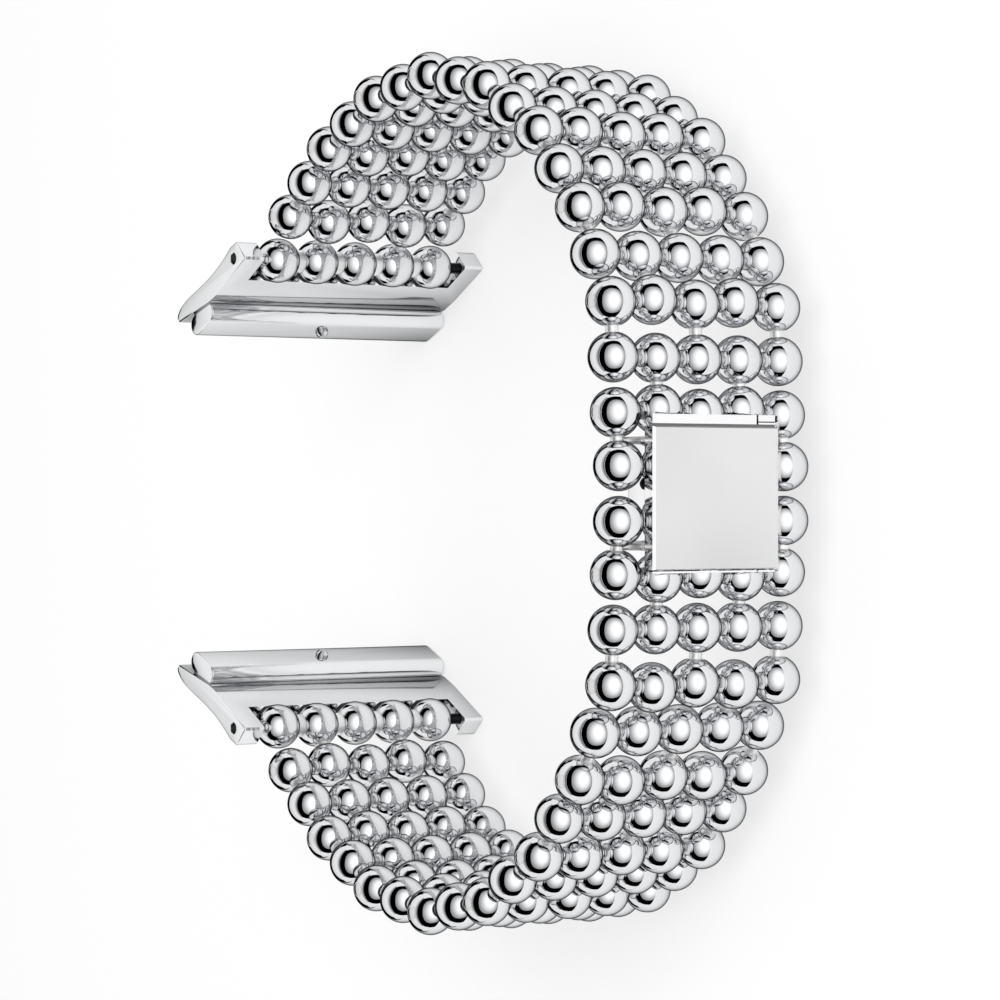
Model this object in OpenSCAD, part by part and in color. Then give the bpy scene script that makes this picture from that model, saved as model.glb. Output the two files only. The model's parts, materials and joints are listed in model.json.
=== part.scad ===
// Bead bracelet for a smart watch: two halves of round steel beads, five beads
// wide, hinged link by link on cross pins. A sliding box clasp joins the halves
// at the wrist side, and each half ends in a slide-in adapter for the watch.
// The bracelet stands on its edge: every hinge axis is vertical, along Z.
// X runs from the watch side to the clasp side, Y along the length of the wrist
// loop, and Z across the width of the band.

/* [Beads] */
// Diameter of one bead
bead_d = 4.7; // [4.5:0.05:4.75]
// Distance from bead to bead across the band
column_pitch = 4.8; // [4.8:0.05:5.1]
// Distance from row to row along the band
row_pitch = 5.1; // [5.05:0.05:5.4]
// How far the two inner knuckle beads sit back from their pin
knuckle_set = 0.37; // [0.35:0.01:0.4]
// Diameter of the necks that join bead to bead
neck_d = 1.2; // [1:0.1:1.6]

/* [Hinge pins] */
// Diameter of the hinge pins
pin_d = 1.2; // [1:0.1:1.4]
// Radial clearance of a bead that turns on its pin
pin_play = 0.05; // [0.03:0.01:0.08]
// How far a hinge pin ends below the outer bead's surface
pin_recess = 0.1; // [0.08:0.01:0.3]

/* [Wrist loop] */
// Distance from the middle of the clasp to its hinge pins
clasp_half = 7.4; // [7.3:0.05:7.9]
// Distance from the wrist's axis to the clasp's hinge pins
pin_reach = 33.1; // [30:0.1:38]
// Distance from the last hinge pin to the pin in the adapter
end_pitch = 5.2; // [5.1:0.05:5.5]
// Bend of the band at rest at each hinge, from the clasp to the adapter
turns = [4, 24.5, 12.5, 19, 19, 18.5, 17.5, 14.5, 19.5];

/* [Adapter] */
// Width of the adapter across the band
adapter_w = 30; // [29:0.1:32]
// Thickness of each ear along the pin
ear_t = 2.4; // [2:0.1:2.5]
// Distance from the pin back to the floor of the notch
notch_depth = 2; // [1.8:0.05:2.2]
// Gap between a bead and its hollow in the notch floor
scallop_gap = 0.15; // [0.1:0.01:0.3]
// Depth of the pin's ends below the ears' outer faces
ear_pin_recess = 0.8; // [0.4:0.1:1.2]
// Width of the foot that slides into the watch
foot_w = 5; // [4.4:0.1:5.4]
// Thickness of the foot
foot_t = 2.2; // [2:0.1:2.4]
// Width of the neck between foot and cap
foot_neck_w = 3; // [2.6:0.1:3.4]
// How much shorter than the adapter the foot is at each end
foot_inset = 0.3; // [0.1:0.1:1]

/* [Adapter lock] */
// Diameter of the lock plunger's tip
lock_tip_d = 1.3; // [1:0.1:1.5]
// Diameter of the plunger's collar
lock_collar_d = 1.9; // [1.7:0.1:2]
// Thickness of the collar
lock_collar_t = 0.6; // [0.4:0.1:0.8]
// How far the tip stands out of the foot
lock_out = 0.65; // [0.4:0.05:0.8]
// Thickness of the lip that keeps the plunger in
lock_lip = 0.5; // [0.4:0.05:0.6]
// Radial clearance of plunger and spring in their bore
lock_play = 0.05; // [0.03:0.01:0.1]
// Depth of the spring chamber behind the lip
lock_chamber = 2.4; // [2.2:0.1:2.5]
// Wall of the coiled spring
spring_wall = 0.3; // [0.2:0.05:0.4]

/* [Clasp] */
// Half of the box's width
box_half_w = 6.9; // [6.7:0.05:6.95]
// Wall of the box
box_wall = 0.5; // [0.4:0.05:0.6]
// Height of the box under its cover
box_h = 3.7; // [3.6:0.1:3.9]
// Thickness of the end blocks that carry the beads
end_block_t = 0.8; // [0.7:0.05:0.82]
// How far an end block reaches into the middle knuckle bead
block_lap = 0.2; // [0.15:0.01:0.25]
// How far the side beads stand further out than the hinge pins
side_bead_out = 0.5; // [0.3:0.05:0.7]
// Distance of the side beads from the clasp's middle
side_bead_y = 2.55; // [2.5:0.01:2.6]
// Diameter of the bars that carry the side beads
bar_d = 0.7; // [0.5:0.05:0.75]

/* [Clasp cover] */
// Gap between the cover sheet and the beads behind it
sheet_gap = 0.1; // [0.08:0.01:0.15]
// Half of the cover's width
cover_half_w = 7.3; // [7.2:0.05:7.4]
// Thickness of the cover sheet
sheet_t = 0.25; // [0.2:0.01:0.3]
// Height of the pad between sheet and box
pad_t = 0.55; // [0.5:0.01:0.65]
// Depth of the skirts along the cover's sides
skirt = 1.2; // [0.8:0.05:1.3]
// Chamfer around the plate
plate_chamfer = 0.15; // [0.1:0.01:0.2]
// Length of the raised plate above the clasp's middle
plate_up = 6.15; // [6:0.05:6.4]
// Length of the raised plate below the clasp's middle
plate_down = 7; // [6.8:0.05:7.1]
// Distance from the clasp's middle to the ends of the strips
strip_reach = 7.3; // [7.2:0.05:7.35]
// How far the end strips lie below the plate
strip_step = 0.1; // [0.05:0.01:0.15]

/* [Tongue and buttons] */
// Thickness of the tongue blade
blade_t = 0.8; // [0.6:0.05:1]
// How far the blade reaches past the clasp's middle
blade_tip = 3.4; // [3:0.1:3.8]
// Gap around the blade in the box
blade_gap = 0.25; // [0.15:0.05:0.4]
// Thickness of the spring leaf
leaf_t = 0.3; // [0.2:0.05:0.35]
// Height of the spring leaf
leaf_h = 1.4; // [1.2:0.1:1.5]
// Room between the box's side walls and the leaf's arms
arm_gap = 1.2; // [1.1:0.05:1.4]
// Distance of the buttons and catch teeth from the clasp's middle
button_y = 0.9; // [0.85:0.01:0.95]
// Length of a catch tooth along the arm
tooth_l = 2; // [1.9:0.05:2.2]
// Length of the catch ribs on the box walls
rib_l = 1; // [0.8:0.1:1.2]
// Height of those ribs
rib_h = 0.85; // [0.8:0.05:0.9]
// Diameter of the button heads
button_d = 1; // [0.9:0.05:1.1]
// Gap between the cover and the collars that keep the buttons in
collar_gap = 0.3; // [0.25:0.05:0.5]
// Thickness of a collar
button_collar_t = 0.35; // [0.3:0.05:0.4]
// How far a button stands out of the box
button_out = 0.55; // [0.4:0.01:0.56]

/* [Hidden] */
$fn = 48;
// Small gap between faces that slide on each other
slip = 0.05;
// Extra length that takes a cut clear through a wall
through = 1;
COLUMNS = [1, 2, 3, 4, 5];
MIDDLE_COLUMN = (len(COLUMNS) + 1) / 2;
SIDE_COLUMNS = [COLUMNS[0], COLUMNS[len(COLUMNS) - 1]];
OUTER_KNUCKLES = [for (c = COLUMNS) if (c % 2 == 1) c];
INNER_KNUCKLES = [for (c = COLUMNS) if (c % 2 == 0) c];
LINKS = len(turns) - 1;
HALVES = ["upper", "lower"];

bead_r = bead_d / 2;
half_w = adapter_w / 2;
link_l = 2 * row_pitch;

// Direction of the link that starts at hinge i, and that hinge's place
function bend(i) = i < 0 ? 90 : bend(i - 1) + turns[i];
function hinge(i) = i == 0 ? [pin_reach, clasp_half] : hinge(i - 1) + link_l * along(bend(i - 1));
function along(a) = [cos(a), sin(a)];
ear_at = hinge(LINKS) + end_pitch * along(bend(LINKS));

// Outline of the adapter, from its pin: the side of the watch, the ear and the foot
ear_angle = 31;
foot_angle = 25;
far_tip = [-12.2, -5.4];
ear_top = [-0.8, 1.2];
crown_a = [-10.5, -3];
crown_b = [-6, -3.2];
CROWN_STEPS = 14;
TIP_STEPS = 5;
tip_start_angle = 120;
tip_end_angle = 40;
tip_r = 0.45;
tip_at = [0.55, 1.25];
heel = [-12.3, -5.8];
ear_end = [[2.35, 0.12], [2.35, -0.2], [-3.3, -3.38], [-5.3, -4.3], [-11.9, -6.2], heel];
foot_at = [-9.24, -2.31];
function bezier(t) = pow(1 - t, 3) * far_tip + 3 * pow(1 - t, 2) * t * crown_a
    + 3 * (1 - t) * t * t * crown_b + pow(t, 3) * ear_top;
function tip_angle(k) = tip_start_angle + (tip_end_angle - tip_start_angle) * k / TIP_STEPS;
adapter_outline = concat(
    [for (k = [0:CROWN_STEPS]) bezier(k / CROWN_STEPS)],
    [for (k = [0:TIP_STEPS]) tip_at + tip_r * along(tip_angle(k))],
    ear_end);
notch_half = half_w - ear_t;

// Depths of the lock along the foot's own axis, measured from the pin
foot_bottom = foot_at[1] - foot_t / 2;
collar_bottom = foot_bottom + lock_lip + slip;
collar_top = collar_bottom + lock_collar_t;
chamber_top = foot_bottom + lock_lip + lock_chamber;

// Levels of the clasp along X
side_bead_x = pin_reach + side_bead_out;
sheet_back = pin_reach + bead_r + sheet_gap;
cover_front = sheet_back + sheet_t;
box_top = sheet_back - pad_t;
box_back = box_top - box_h;
blade_back = box_back + box_wall + blade_gap;
leaf_back = blade_back + blade_t + slip;
button_collar_d = box_top - collar_gap - leaf_back;
button_x = leaf_back + button_collar_d / 2;
block_in = clasp_half - bead_r - end_block_t + block_lap;
block_out = block_in + end_block_t;
box_mouth = block_in - slip;
arm_half = box_half_w - box_wall - arm_gap;
catch_half = box_half_w - box_wall - button_collar_t - 2 * slip;
tooth_bottom = button_y - tooth_l / 2;
leaf_front = leaf_back + leaf_h;
skirt_front = sheet_back + sheet_t / 2;

// The loop is centred over the origin and stands on the adapters' lower ends
loop_front = side_bead_x + bead_r;
loop_back = ear_at[0] + heel[0];
centre_x = (loop_front + loop_back) / 2;

STEEL = "#c9cbcd";
SATIN = "#dcdddf";
SPRING = "#8f9296";

function col_z(c) = (MIDDLE_COLUMN - c) * column_pitch;

module stand() {
    translate([-centre_x, 0, half_w]) children();
}

// One half of the loop; the lower half is the mirror image of the upper one
module half(side) {
    mirror([0, side == "lower" ? 1 : 0, 0]) children();
}

// Moves a piece to hinge i with its local X along the link
module at_hinge(i) {
    translate([hinge(i)[0], hinge(i)[1], 0]) rotate([0, 0, bend(i)]) children();
}

module at_ear() {
    translate([ear_at[0], ear_at[1], 0]) children();
}

module bead(x, c) {
    translate([x, 0, col_z(c)]) sphere(d = bead_d);
}

module neck(from, to, c) {
    translate([from, 0, col_z(c)]) rotate([0, 90, 0]) cylinder(d = neck_d, h = to - from);
}

// A box between two corners
module slab(low, high) {
    translate(low) cube(high - low);
}

// The same piece on both sides of the band's middle
module both_sides() {
    for (s = [0, 1]) mirror([0, 0, s]) children();
}

// A round bar across the band, centred on the middle column
module across(d, l) {
    cylinder(d = d, h = l, center = true);
}

// Link: a row of five beads, two knuckles towards the clasp, three towards the watch
module link() {
    color(STEEL) difference() {
        union() {
            for (c = COLUMNS) bead(row_pitch, c);
            translate([row_pitch, 0, 0]) across(neck_d, 4 * column_pitch);
            for (c = INNER_KNUCKLES) {
                bead(knuckle_set, c);
                neck(knuckle_set, row_pitch, c);
            }
            for (c = OUTER_KNUCKLES) {
                bead(link_l, c);
                neck(row_pitch, link_l, c);
            }
        }
        across(pin_d + 2 * pin_play, adapter_w);
        translate([link_l, 0, 0]) across(pin_d, adapter_w);
    }
}

// End link: five beads on a sleeve round the adapter's pin, two knuckles behind
module end_link() {
    color(STEEL) difference() {
        union() {
            for (c = COLUMNS) bead(end_pitch, c);
            translate([end_pitch, 0, 0]) across(pin_d + neck_d, 4 * column_pitch);
            for (c = INNER_KNUCKLES) {
                bead(knuckle_set, c);
                neck(knuckle_set, end_pitch, c);
            }
        }
        across(pin_d + 2 * pin_play, adapter_w);
        translate([end_pitch, 0, 0]) across(pin_d + 2 * pin_play, adapter_w);
    }
}

module hinge_pin() {
    chord = sqrt(bead_r * bead_r - pin_d * pin_d / 4);
    color(STEEL) across(pin_d, 4 * column_pitch + 2 * (chord - pin_recess));
}

module ear_pin() {
    color(STEEL) across(pin_d, adapter_w - 2 * ear_pin_recess);
}

module adapter_foot() {
    reach = foot_w - foot_t;
    rotate([0, 0, foot_angle]) translate([foot_at[0], foot_at[1], 0])
        linear_extrude(height = adapter_w - 2 * foot_inset, center = true) {
            square([reach, foot_t], center = true);
            for (s = [-1, 1]) translate([s * reach / 2, 0]) circle(d = foot_t);
            translate([-foot_neck_w / 2, 0]) square([foot_neck_w, foot_t]);
        }
}

// Bores of the lock, drawn along the foot's own axis
module along_lock(from) {
    rotate([0, 0, foot_angle]) translate([foot_at[0], from, 0]) rotate([-90, 0, 0]) children();
}

module lock_bores() {
    along_lock(foot_bottom - through) cylinder(d = lock_tip_d + 2 * lock_play, h = lock_lip + 2 * through);
    along_lock(foot_bottom + lock_lip) cylinder(d = lock_collar_d + 2 * lock_play, h = lock_chamber);
}

module adapter() {
    color(STEEL) difference() {
        union() {
            linear_extrude(height = adapter_w, center = true) polygon(adapter_outline);
            adapter_foot();
        }
        rotate([0, 0, ear_angle]) translate([-notch_depth, -adapter_w / 2, -notch_half])
            cube([adapter_w, adapter_w, 2 * notch_half]);
        for (c = COLUMNS) translate([0, 0, col_z(c)]) sphere(r = bead_r + scallop_gap);
        across(pin_d, adapter_w + through);
        lock_bores();
    }
}

module lock_plunger() {
    taper = lock_tip_d / 4;
    tip_bottom = foot_bottom - lock_out;
    shaft_l = collar_bottom + lock_collar_t / 2 - tip_bottom - taper;
    color(STEEL) union() {
        along_lock(collar_bottom) cylinder(d = lock_collar_d, h = lock_collar_t);
        along_lock(tip_bottom + taper) cylinder(d = lock_tip_d, h = shaft_l);
        along_lock(tip_bottom) cylinder(d1 = lock_tip_d / 2, d2 = lock_tip_d, h = taper);
    }
}

module lock_spring() {
    outer = lock_collar_d - 2 * slip;
    color(SPRING) along_lock(collar_top + slip) difference() {
        cylinder(d = outer, h = chamber_top - collar_top - 2 * slip);
        translate([0, 0, -through]) cylinder(d = outer - 2 * spring_wall, h = lock_chamber + 2 * through);
    }
}

// Beads at one end of the clasp: three knuckles on the hinge pin, a bead at each
// side of the box, and the block and bars that carry them
module clasp_beads() {
    block_x = (box_back + box_top) / 2;
    difference() {
        union() {
            for (c = OUTER_KNUCKLES) translate([pin_reach, clasp_half, col_z(c)]) sphere(d = bead_d);
            for (c = SIDE_COLUMNS) {
                translate([side_bead_x, side_bead_y, col_z(c)]) sphere(d = bead_d);
                side_neck(c);
            }
            slab([box_back, block_in, -box_half_w], [box_top - slip, block_out, box_half_w]);
            translate([block_x, block_in + end_block_t / 2, 0]) across(bar_d, 4 * column_pitch);
        }
        translate([pin_reach, clasp_half, 0]) across(pin_d, adapter_w);
    }
}

module side_neck(c) {
    run = [side_bead_x - pin_reach, side_bead_y - clasp_half];
    translate([pin_reach, clasp_half, col_z(c)]) rotate([0, 0, atan2(run[1], run[0])])
        rotate([0, 90, 0]) cylinder(d = neck_d, h = norm(run));
}

// The line that the release buttons move along
module button_line() {
    translate([button_x, button_y, 0]) children();
}

module clasp_box() {
    wall_in = box_half_w - box_wall;
    wall_mid = box_half_w - box_wall / 2;
    rib_top = tooth_bottom - slip;
    color(STEEL) difference() {
        union() {
            clasp_beads();
            slab([box_back, -box_mouth, -box_half_w], [box_back + box_wall, block_out, box_half_w]);
            both_sides() {
                slab([box_back, -box_mouth, wall_in], [box_top, block_out, box_half_w]);
                slab([leaf_back, rib_top - rib_l, wall_in - rib_h], [leaf_front, rib_top - slip, box_half_w]);
                translate([side_bead_x, side_bead_y, wall_mid])
                    cylinder(d = bar_d, h = 2 * column_pitch - wall_mid);
            }
        }
        button_line() across(button_d + 2 * slip, 2 * (box_half_w + button_out));
    }
}

module tongue() {
    color(STEEL) mirror([0, 1, 0]) union() {
        clasp_beads();
        slab([blade_back, -blade_tip, -arm_half], [blade_back + blade_t, block_out - end_block_t / 2, arm_half]);
    }
}

// U-shaped spring leaf: its arms carry the teeth that catch behind the box's ribs
module tongue_spring() {
    leaf_end = slip - block_in;
    tooth_top = tooth_bottom + tooth_l;
    color(SPRING) union() {
        slab([leaf_back, leaf_end, -arm_half], [leaf_front, leaf_end + leaf_t, arm_half]);
        both_sides() {
            slab([leaf_back, leaf_end, arm_half - leaf_t], [leaf_front, tooth_top, arm_half]);
            slab([leaf_back, tooth_bottom, arm_half - slip / 2], [leaf_front, tooth_top, catch_half + slip / 2]);
        }
    }
}

module release_button(s) {
    inner = box_half_w - box_wall - slip - button_collar_t;
    color(STEEL) button_line() mirror([0, 0, s < 0 ? 1 : 0]) translate([0, 0, inner]) {
        cylinder(d = button_collar_d, h = button_collar_t);
        cylinder(d = button_d, h = box_half_w + button_out - inner);
    }
}

// One flat plate with chamfered front edges
module plate(from, to, half, front, t, chamfer) {
    intersection() {
        translate([0, 0, -half]) linear_extrude(height = 2 * half) polygon([
            [front - t, from], [front - chamfer, from], [front, from + chamfer],
            [front, to - chamfer], [front - chamfer, to], [front - t, to]]);
        translate([0, to, 0]) rotate([90, 0, 0]) linear_extrude(height = to - from) polygon([
            [front - t, -half], [front - chamfer, -half], [front, -half + chamfer],
            [front, half - chamfer], [front - chamfer, half], [front - t, half]]);
    }
}

module clasp_cover() {
    skirt_in = cover_half_w - sheet_t;
    color(SATIN) union() {
        plate(-plate_down, plate_up, cover_half_w, cover_front, sheet_t, plate_chamfer);
        slab([sheet_back, -strip_reach, -box_half_w], [cover_front - strip_step, strip_reach, box_half_w]);
        slab([box_top, -box_mouth, -box_half_w], [skirt_front, block_out, box_half_w]);
        both_sides()
            slab([skirt_front - skirt, -plate_down, skirt_in], [skirt_front, plate_up, cover_half_w]);
    }
}

PIECES = concat(
    [for (i = [1:LINKS]) str("link_", i)],
    [for (i = [1:LINKS + 1]) str("pin_", i)],
    ["end_link", "adapter", "ear_pin", "lock_plunger", "lock_spring"]);

stand() clasp_box();
stand() clasp_cover();
stand() tongue();
stand() tongue_spring();
stand() release_button(1);  // left_button
stand() release_button(-1);  // right_button
for (h = HALVES) {
    for (i = [1:LINKS])
        stand() half(h) at_hinge(i - 1) link();
    for (i = [1:LINKS + 1])
        stand() half(h) at_hinge(i - 1) hinge_pin();
    stand() half(h) at_hinge(LINKS) end_link();
    stand() half(h) at_ear() adapter();
    stand() half(h) at_ear() ear_pin();
    stand() half(h) at_ear() lock_plunger();
    stand() half(h) at_ear() lock_spring();
}
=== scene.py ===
"""Steel bead bracelet: hinged bead links, a box clasp and two slide-in adapters.

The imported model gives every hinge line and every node's place. This script builds the polished
beads, the satin clasp plate and the shaped adapters around them, and lights them in a small studio.
"""

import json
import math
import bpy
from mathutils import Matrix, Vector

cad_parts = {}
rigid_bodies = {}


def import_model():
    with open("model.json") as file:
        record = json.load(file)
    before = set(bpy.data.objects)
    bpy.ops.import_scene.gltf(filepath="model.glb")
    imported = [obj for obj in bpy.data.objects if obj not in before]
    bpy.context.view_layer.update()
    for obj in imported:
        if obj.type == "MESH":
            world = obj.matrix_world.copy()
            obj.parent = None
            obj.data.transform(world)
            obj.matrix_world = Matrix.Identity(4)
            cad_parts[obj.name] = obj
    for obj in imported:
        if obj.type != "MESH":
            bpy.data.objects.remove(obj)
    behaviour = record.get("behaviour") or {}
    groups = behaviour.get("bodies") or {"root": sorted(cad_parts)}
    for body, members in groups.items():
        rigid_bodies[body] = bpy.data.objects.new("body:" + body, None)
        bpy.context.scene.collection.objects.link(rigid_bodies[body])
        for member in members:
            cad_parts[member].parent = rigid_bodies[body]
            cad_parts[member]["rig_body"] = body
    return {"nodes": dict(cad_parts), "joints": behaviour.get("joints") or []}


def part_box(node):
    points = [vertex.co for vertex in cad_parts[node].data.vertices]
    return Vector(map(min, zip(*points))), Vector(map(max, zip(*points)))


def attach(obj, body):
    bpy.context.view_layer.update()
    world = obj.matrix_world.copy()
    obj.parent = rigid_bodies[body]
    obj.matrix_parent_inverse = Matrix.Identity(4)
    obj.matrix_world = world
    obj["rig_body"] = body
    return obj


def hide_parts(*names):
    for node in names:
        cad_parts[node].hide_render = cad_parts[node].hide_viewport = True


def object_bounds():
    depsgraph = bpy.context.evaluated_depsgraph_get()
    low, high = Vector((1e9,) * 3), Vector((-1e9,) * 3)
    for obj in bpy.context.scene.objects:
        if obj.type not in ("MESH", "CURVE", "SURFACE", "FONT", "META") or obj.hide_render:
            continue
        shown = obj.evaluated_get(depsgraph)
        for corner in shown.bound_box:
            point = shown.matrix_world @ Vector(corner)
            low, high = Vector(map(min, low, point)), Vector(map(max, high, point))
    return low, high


bl_info = {
    "name": "Bead bracelet",
    "version": (1, 0, 0),
    "blender": (4, 5, 0),
    "location": "3D View > Sidebar > Bracelet",
    "description": "Builds a steel bead bracelet with a box clasp around its packed model",
    "category": "Add Mesh",
}

import bmesh
import bpy
from bpy.props import FloatProperty, IntProperty, PointerProperty, StringProperty
from bpy.types import Operator, Panel, PropertyGroup
from mathutils import Matrix, Vector

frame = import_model()
CAD_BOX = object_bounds()

MM = 0.001
SIDES = {"upper": 1, "lower": -1}
COLUMNS = (2, 1, 0, -1, -2)
OUTER_KNUCKLES = (2, 0, -2)
INNER_KNUCKLES = (1, -1)
HINGES = {j["child"]: Vector(j["pos_m"]) for j in frame["joints"] if j["type"] == "hinge"}
LINKS = sum(name.startswith("upper_link_") for name in HINGES)
MID_Z = (CAD_BOX[0][2] + CAD_BOX[1][2]) / 2
# Turns a lathe's X across the band.
ACROSS = Matrix.Rotation(-math.pi / 2, 4, "Y")
# How near to a bead's surface its points lie, as a share of its radius.
ON_BEAD = 2e-4
# Patterns of the finishes: gloss patches, ripple, grit as drawn, tone patches and paper's tooth.
GLOSS_PATCH = 2.5 * MM
RIPPLE_DEPTH = 0.02 * MM
GRIT_LINE = 0.12 * MM
GRIT_DEPTH = 0.004 * MM
TONE_PATCH = 11 * MM
PAPER_TOOTH = 0.8 * MM
TOOTH_DEPTH = 0.02 * MM


def distance(name, description, default):
    """A length in metres."""
    return FloatProperty(name=name, description=description, default=default, unit="LENGTH",
                         precision=5)


def millimetres(name, description, default):
    """A length in millimetres, stored in metres."""
    return distance(name, description, default * MM)


def angle(name, description, default):
    """An angle, given in degrees."""
    return FloatProperty(name=name, description=description, default=math.radians(default),
                         subtype="ANGLE")


def amount(name, description, default):
    """A plain number."""
    return FloatProperty(name=name, description=description, default=default)


def finish_colour(name, description, default):
    """A finish's colour as an sRGB hex value."""
    return StringProperty(name=name, description=description, default=default)


class BeadSettings(PropertyGroup):
    """Sizes of the beads and of what joins them."""

    bead_d: millimetres("Bead", "Diameter of one bead", 4.7)
    column_pitch: millimetres("Column pitch", "Distance from bead to bead across the band", 4.8)
    row_pitch: millimetres("Row pitch", "Distance from row to row along the band", 5.1)
    knuckle_set: millimetres("Knuckle set", "How far inner knuckles sit behind their pin", 0.37)
    neck_d: millimetres("Neck", "Diameter of the necks between beads", 1.2)
    neck_flare: millimetres("Neck flare", "How much a neck widens where it meets a bead", 0.25)
    pin_d: millimetres("Pin", "Diameter of the hinge pins", 1.2)
    pin_play: millimetres("Pin play", "Radial clearance of a bead that turns on its pin", 0.05)
    countersink: millimetres("Countersink", "Width of the chamfer around a pin hole", 0.04)
    pin_sink: millimetres("Pin sink", "How far a pin's end lies below the bead's surface", 0.02)
    bead_segments: IntProperty(name="Segments", description="Segments around a bead", default=56)


class AdapterSettings(PropertyGroup):
    """Sizes of the slide-in adapters."""

    width: millimetres("Width", "Width of the adapter across the band", 30.0)
    ear_t: millimetres("Ear", "Thickness of each ear along its pin", 2.4)
    notch_depth: millimetres("Notch", "Distance from the pin back to the notch's floor", 2.0)
    scallop_gap: millimetres("Scallop gap", "Gap between a bead and its hollow", 0.15)
    foot_w: millimetres("Foot width", "Width of the foot that slides in", 5.0)
    foot_t: millimetres("Foot thickness", "Thickness of the foot", 2.2)
    foot_neck_w: millimetres("Foot neck", "Width of the neck above the foot", 3.0)
    foot_inset: millimetres("Foot inset", "How much shorter the foot is at each end", 0.3)
    edge: millimetres("Edge", "Radius of the polished edges", 0.14)
    lock_d: millimetres("Lock bore", "Diameter of the lock's bore", 1.4)


class ClaspSettings(PropertyGroup):
    """Sizes of the clasp."""

    box_half_w: millimetres("Box half width", "Half of the box's width", 6.9)
    box_wall: millimetres("Box wall", "Wall of the box", 0.5)
    box_h: millimetres("Box height", "Height of the box under its cover", 3.7)
    block_t: millimetres("Block thickness", "Thickness of an end block", 0.8)
    block_lap: millimetres("Block lap", "How far an end block reaches into its knuckle beads", 0.2)
    slip: millimetres("Slip", "Play between pieces that slide", 0.05)
    side_out: millimetres("Side bead", "How far the side beads stand out from the pins", 0.5)
    side_y: millimetres("Side bead place", "From the clasp's middle to the side beads", 2.55)
    bar_d: millimetres("Bar", "Diameter of the bars that carry the side beads", 0.7)
    cover_half_w: millimetres("Cover half width", "Half of the cover's width", 7.3)
    sheet_gap: millimetres("Sheet gap", "Gap between the pins' beads and the cover sheet", 0.1)
    sheet_t: millimetres("Sheet", "Thickness of the cover sheet", 0.25)
    pad_t: millimetres("Pad", "Height of the pad between sheet and box", 0.55)
    skirt: millimetres("Skirt", "Depth of the skirts along the cover's sides", 1.2)
    skirt_edge: millimetres("Skirt edge", "Radius of the skirts' edges", 0.05)
    plate_up: millimetres("Plate up", "Length of the plate above the clasp's middle", 6.15)
    plate_down: millimetres("Plate down", "Length of the plate below the clasp's middle", 7.0)
    strip_reach: millimetres("Strips", "From the clasp's middle to the ends of the strips", 7.3)
    strip_slant: millimetres("Strip slant", "How far the strips' ends slant to clear beads", 0.6)
    strip_step: millimetres("Strip step", "How far the strips lie below the plate", 0.1)
    tab_w: millimetres("Tab", "Width of the small tab at the end of each strip", 1.95)
    tab_slit: millimetres("Tab slit", "Width of the slit beside the tab", 0.22)
    seam_top: millimetres("Upper seam", "Width of the seam at the upper strip", 0.28)
    seam_low: millimetres("Lower seam", "Width of the seam at the lower strip", 0.12)
    seam_depth: millimetres("Seam depth", "Depth of the seams and slits below the strips", 0.1)
    rim: millimetres("Rim", "Width of the polished rim around the satin plate", 0.3)
    rim_end: millimetres("Rim end", "Width of that rim at the plate's two ends", 0.08)
    rim_drop: millimetres("Rim drop", "How far the polished rim slopes down", 0.12)
    edge: millimetres("Edge", "Radius of the box's edges", 0.12)
    blade_gap: millimetres("Blade gap", "Gap between the box's back and the tongue's blade", 0.25)
    arm_half: millimetres("Blade half width", "Half of the blade's width", 5.2)
    button_d: millimetres("Button", "Diameter of the release buttons", 1.0)
    collar_t: millimetres("Button collar", "Thickness of a button's collar", 0.35)
    button_dome: millimetres("Button dome", "Height of a button's domed end", 0.42)
    button_flat: millimetres("Button trim", "What the dome takes off a button's length", 0.22)


class FinishSettings(PropertyGroup):
    """Colours of the finishes, as sRGB hex values."""

    bead_steel: finish_colour("Beads", "Mirror-polished stainless steel", "#E6E7E9")
    neck_steel: finish_colour("Necks", "Tumbled stainless steel", "#F4F4F5")
    clasp_steel: finish_colour("Clasp", "Polished stainless steel", "#F8F8F9")
    adapter_steel: finish_colour("Adapters", "Polished cast stainless steel", "#F0F1F2")
    plate_steel: finish_colour("Plate", "Satin-brushed stainless steel", "#E5E5E6")
    wire_steel: finish_colour("Pins", "Drawn stainless wire", "#DCDDDF")
    # Seams: a dull grey that is painted shade for the seams' shadow gaps.
    painted_seam_shade: finish_colour("Seams", "Unpolished steel in the clasp's seams", "#77787B")
    # Black steel: painted shade on the buttons and in the clasp's slits, black oxide on the ear
    # pins.
    black_oxide_and_painted_shade: finish_colour("Black steel", "Black-oxidised steel", "#242527")
    spring_steel: finish_colour("Springs", "Blued spring steel", "#8C8F94")
    # Edge tint: painted shade, black at a grazing view, that draws a dark rim on every polished
    # form.
    painted_dark_rim: finish_colour("Edge tint", "Polished steel's colour at a grazing view", "#000000")
    paper: finish_colour("Floor", "White paper sweep", "#F6F6F6")


class StudioSettings(PropertyGroup):
    """Camera and light."""

    camera_distance: distance("Camera distance", "From the loop's axis to the camera", 0.34695)
    camera_rise: angle("Camera rise", "Angle of the view above the floor", 33.96)
    camera_lens: amount("Lens", "Focal length in millimetres", 123.84)
    camera_aim: millimetres("Aim", "How far below the loop's axis the camera aims", 0.65)
    loop_axis: millimetres("Loop axis", "From the clasp's pins to the wrist loop's axis", 33.1)
    board_distance: distance("Board distance", "From the loop's axis to the softbox's board", 0.6)
    softbox_glow: amount("Softbox", "Brightness of the softbox in its middle", 1.5)
    softbox_edge: amount("Softbox edge", "Brightness of the softbox at its edge", 0.35)
    key_strength: amount("Key", "Power of the lamp that draws the shadow, in watts", 2.0)
    surround: amount("Surround", "Brightness of the white room", 1.0)
    near_floor: distance("Near floor", "How far before the loop steel mirrors the floor", 0.075)
    paper_white: amount("Paper white", "Share of plain white in the floor's look", 0.5)
    fill: amount("Fill", "Share of the room's light that reaches matt surfaces", 0.8)


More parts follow.
